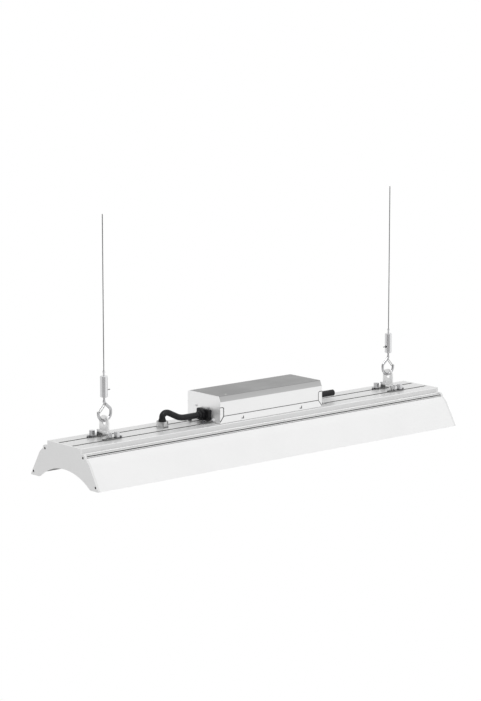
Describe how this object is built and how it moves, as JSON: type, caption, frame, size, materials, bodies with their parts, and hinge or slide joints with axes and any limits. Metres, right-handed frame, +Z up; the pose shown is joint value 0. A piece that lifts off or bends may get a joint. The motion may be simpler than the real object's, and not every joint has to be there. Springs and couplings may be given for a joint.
{
  "type": "linear high bay light",
  "caption": "Long hanging light with a slotted aluminium body, flared side wings, arched end caps, a driver box on top and a wire suspension with a snap hook near each end.",
  "frame": {"origin": "middle of the light at the level of the wing tips", "axes": "+X along the light towards the end with the inlet, +Z up towards the suspension wires, -Y the side shown nearest in the picture"},
  "size_m": [1.2, 0.268, 0.637],
  "materials": {
    "body_white": "satin white powder coat on an aluminium extrusion",
    "wing_white": "satin white powder coat on a thin aluminium extrusion",
    "cap_white": "satin white powder coat on aluminium plate",
    "screw_steel": "bright zinc plated steel",
    "board_white": "white solder mask on an aluminium cored board",
    "lens_clear": "clear extruded polycarbonate",
    "box_white": "white powder coat on steel sheet",
    "driver_silver": "plain aluminium case",
    "moulded_black": "black moulded nylon",
    "pin_brass": "turned brass",
    "gland_metal": "nickel plated metal",
    "seal_rubber": "black rubber",
    "flex_rubber": "black rubber sheath",
    "bracket_steel": "zinc plated pressed steel",
    "hook_steel": "nickel plated forged steel",
    "spring_steel": "bright spring wire",
    "gripper_nickel": "nickel plated turned brass",
    "rope_steel": "galvanised wire rope"
  },
  "bodies": {
    "light": {"heat_sink_body": "body_white", "wing_front": "wing_white", "wing_back": "wing_white", "end_cap_left": "cap_white", "end_cap_right": "cap_white", "end_cap_screws": "screw_steel", "board_screws": "screw_steel", "hanger_bolts_left": "screw_steel", "hanger_bolts_right": "screw_steel", "hanger_nuts_left": "screw_steel", "hanger_nuts_right": "screw_steel", "hanger_screws_left": "screw_steel", "hanger_screws_right": "screw_steel", "hanger_slot_nuts_left": "screw_steel", "hanger_slot_nuts_right": "screw_steel", "slot_stops": "screw_steel", "box_foot_bolts": "screw_steel", "box_foot_nuts": "screw_steel", "box_end_screws": "screw_steel", "earth_screw": "screw_steel", "led_board_left": "board_white", "led_board_right": "board_white", "lens_left": "lens_clear", "lens_right": "lens_clear", "driver_box_tray": "box_white", "driver_box_cover": "box_white", "box_end_left": "box_white", "box_end_right": "box_white", "led_driver": "driver_silver", "terminal_block": "moulded_black", "link_entry_block": "moulded_black", "link_entry_nut": "moulded_black", "inlet_entry_block": "moulded_black", "inlet_entry_nut": "moulded_black", "inlet_shell": "moulded_black", "inlet_pins": "pin_brass", "body_gland_base": "gland_metal", "body_gland_nut": "gland_metal", "body_gland_seal": "seal_rubber", "link_flex": "flex_rubber", "hanger_bracket_left": "bracket_steel", "hanger_bracket_right": "bracket_steel"},
    "hook_left": {"snap_hook_left": "hook_steel", "gripper_body_left": "gripper_nickel", "gripper_cap_left": "gripper_nickel", "grip_spring_left": "spring_steel", "rope_end_left": "rope_steel", "wire_rope_left": "rope_steel"},
    "gate_left": {"hook_gate_left": "spring_steel"},
    "nozzle_left": {"release_nozzle_left": "gripper_nickel"},
    "hook_right": {"snap_hook_right": "hook_steel", "gripper_body_right": "gripper_nickel", "gripper_cap_right": "gripper_nickel", "grip_spring_right": "spring_steel", "rope_end_right": "rope_steel", "wire_rope_right": "rope_steel"},
    "gate_right": {"hook_gate_right": "spring_steel"},
    "nozzle_right": {"release_nozzle_right": "gripper_nickel"}
  },
  "joints": [
    {"name": "hook_swing_left", "type": "hinge", "parent": "light", "child": "hook_left", "pos_m": [-0.477, 0, 0.1363], "axis": [1, 0, 0], "range_deg": [-45, 45]},
    {"name": "gate_left_pivot", "type": "hinge", "parent": "hook_left", "child": "gate_left", "pos_m": [-0.474, 0, 0.17794], "axis": [0, -1, 0], "range_deg": [0, 28], "stiffness_Nm_per_rad": 0.02, "springref_deg": -20.05},
    {"name": "nozzle_left_slide", "type": "slide", "parent": "hook_left", "child": "nozzle_left", "axis": [0, 0, -1], "range_m": [0, 0.0045], "stiffness_N_per_m": 900, "springref_m": -0.002, "deforming": ["grip_spring_left"]},
    {"name": "hook_swing_right", "type": "hinge", "parent": "light", "child": "hook_right", "pos_m": [0.477, 0, 0.1363], "axis": [1, 0, 0], "range_deg": [-45, 45]},
    {"name": "gate_right_pivot", "type": "hinge", "parent": "hook_right", "child": "gate_right", "pos_m": [0.474, 0, 0.17794], "axis": [0, 1, 0], "range_deg": [0, 28], "stiffness_Nm_per_rad": 0.02, "springref_deg": -20.05},
    {"name": "nozzle_right_slide", "type": "slide", "parent": "hook_right", "child": "nozzle_right", "axis": [0, 0, -1], "range_m": [0, 0.0045], "stiffness_N_per_m": 900, "springref_m": -0.002, "deforming": ["grip_spring_right"]}
  ]
}
